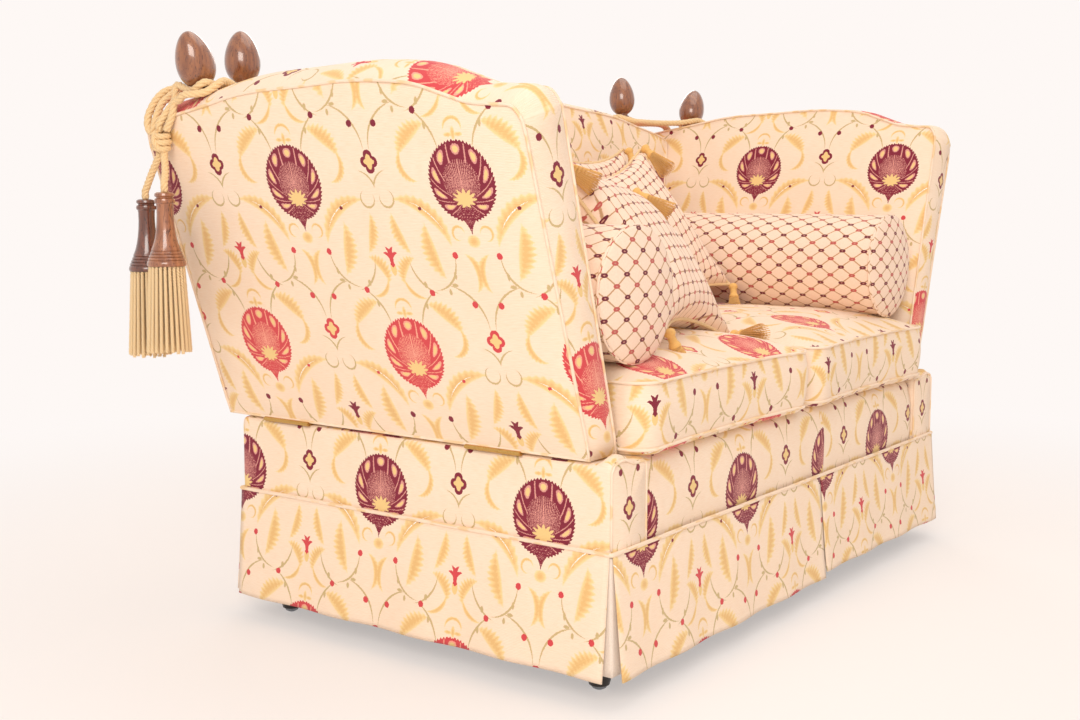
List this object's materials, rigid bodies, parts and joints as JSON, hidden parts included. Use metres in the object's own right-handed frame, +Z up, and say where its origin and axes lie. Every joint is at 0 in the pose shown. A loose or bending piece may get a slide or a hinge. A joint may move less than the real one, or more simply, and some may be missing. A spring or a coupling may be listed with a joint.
{
  "type": "knole sofa",
  "caption": "knole sofa with a camel back, leaning arms that drop on hinges, rope ties round turned finials, wooden tassels, bolsters and loose cushions",
  "frame": {"origin": "on the floor under the middle of the sofa", "axes": "+X to the right arm as seen by someone facing the sofa's front, +Y to the back, +Z up"},
  "size_m": [1.8568, 0.9118, 1.0955],
  "materials": {
    "floral_fabric": "woven cotton and linen, matt, printed with a floral repeat",
    "trellis_fabric": "matt woven cotton with a small trellis pattern",
    "walnut": "turned walnut, polished, glossy",
    "beech": "sawn beech, unfinished",
    "hinge_brass": "brushed brass",
    "spring_steel": "bright drawn wire",
    "rope": "twisted cotton rope, matt",
    "jute": "plain woven jute",
    "dust_cambric": "black cambric"
  },
  "bodies": {
    "sofa": {"seat_deck": "floral_fabric", "left_base_pad": "floral_fabric", "right_base_pad": "floral_fabric", "front_border": "floral_fabric", "rear_base_pad": "floral_fabric", "skirt_welt": "floral_fabric", "left_skirt": "floral_fabric", "right_skirt": "floral_fabric", "rear_skirt": "floral_fabric", "front_left_skirt": "floral_fabric", "front_right_skirt": "floral_fabric", "back_pad": "floral_fabric", "left_back_finial": "walnut", "right_back_finial": "walnut", "front_rail": "beech", "rear_rail": "beech", "left_side_rail": "beech", "right_side_rail": "beech", "back_frame": "beech", "front_left_foot": "beech", "front_right_foot": "beech", "rear_left_foot": "beech", "rear_right_foot": "beech", "left_front_hinge_base_leaf": "hinge_brass", "left_rear_hinge_base_leaf": "hinge_brass", "right_front_hinge_base_leaf": "hinge_brass", "right_rear_hinge_base_leaf": "hinge_brass", "seat_springs": "spring_steel", "seat_webbing": "jute", "spring_canvas": "jute", "dust_cover": "dust_cambric"},
    "left_arm": {"left_arm_pad": "floral_fabric", "left_arm_frame": "beech", "left_arm_finial": "walnut", "left_front_hinge_arm_leaf": "hinge_brass", "left_rear_hinge_arm_leaf": "hinge_brass", "left_tie_rope": "rope"},
    "left_tassels": {"left_tie_knot": "rope", "left_rear_tail": "rope", "left_front_tail": "rope", "left_rear_tassel": "walnut", "left_front_tassel": "walnut"},
    "left_seat": {"left_seat_cushion": "floral_fabric"},
    "left_bolster": {"left_bolster": "trellis_fabric"},
    "right_arm": {"right_arm_pad": "floral_fabric", "right_arm_frame": "beech", "right_arm_finial": "walnut", "right_front_hinge_arm_leaf": "hinge_brass", "right_rear_hinge_arm_leaf": "hinge_brass", "right_tie_rope": "rope"},
    "right_tassels": {"right_tie_knot": "rope", "right_rear_tail": "rope", "right_front_tail": "rope", "right_rear_tassel": "walnut", "right_front_tassel": "walnut"},
    "right_seat": {"right_seat_cushion": "floral_fabric"},
    "right_bolster": {"right_bolster": "trellis_fabric"},
    "front_scatter": {"front_scatter_cushion": "trellis_fabric"},
    "middle_scatter": {"middle_scatter_cushion": "trellis_fabric"},
    "back_scatter": {"back_scatter_cushion": "trellis_fabric"}
  },
  "joints": [
    {"name": "left_arm_drop", "type": "hinge", "parent": "sofa", "child": "left_arm", "pos_m": [-0.6803, 0, 0.385], "axis": [0, -1, 0], "range_deg": [0, 60], "deforming": ["left_tie_rope"]},
    {"name": "left_tassel_hang", "type": "hinge", "parent": "left_arm", "child": "left_tassels", "pos_m": [-0.8668, 0.385, 0.8867], "axis": [0, -1, 0], "range_deg": [-60, 0]},
    {"name": "right_arm_drop", "type": "hinge", "parent": "sofa", "child": "right_arm", "pos_m": [0.6803, 0, 0.385], "axis": [0, 1, 0], "range_deg": [0, 60], "deforming": ["right_tie_rope"]},
    {"name": "right_tassel_hang", "type": "hinge", "parent": "right_arm", "child": "right_tassels", "pos_m": [0.8668, 0.385, 0.8867], "axis": [0, 1, 0], "range_deg": [-60, 0]},
    {"name": "left_seat_lift", "type": "slide", "parent": "sofa", "child": "left_seat", "axis": [0, 0, 1], "range_m": [0, 0.15]},
    {"name": "left_bolster_lift", "type": "slide", "parent": "left_seat", "child": "left_bolster", "axis": [0, 0, 1], "range_m": [0, 0.2]},
    {"name": "right_seat_lift", "type": "slide", "parent": "sofa", "child": "right_seat", "axis": [0, 0, 1], "range_m": [0, 0.15]},
    {"name": "right_bolster_lift", "type": "slide", "parent": "right_seat", "child": "right_bolster", "axis": [0, 0, 1], "range_m": [0, 0.2]},
    {"name": "front_scatter_lift", "type": "slide", "parent": "left_seat", "child": "front_scatter", "axis": [0, 0, 1], "range_m": [0, 0.2]},
    {"name": "back_scatter_lift", "type": "slide", "parent": "right_seat", "child": "back_scatter", "axis": [0, 0, 1], "range_m": [0, 0.2]},
    {"name": "middle_scatter_lift", "type": "slide", "parent": "back_scatter", "child": "middle_scatter", "axis": [0, 0, 1], "range_m": [0, 0.2]}
  ],
  "couplings": [
    {"joint": "left_tassel_hang", "follows": "left_arm_drop", "ratio": -1},
    {"joint": "right_tassel_hang", "follows": "right_arm_drop", "ratio": -1}
  ]
}
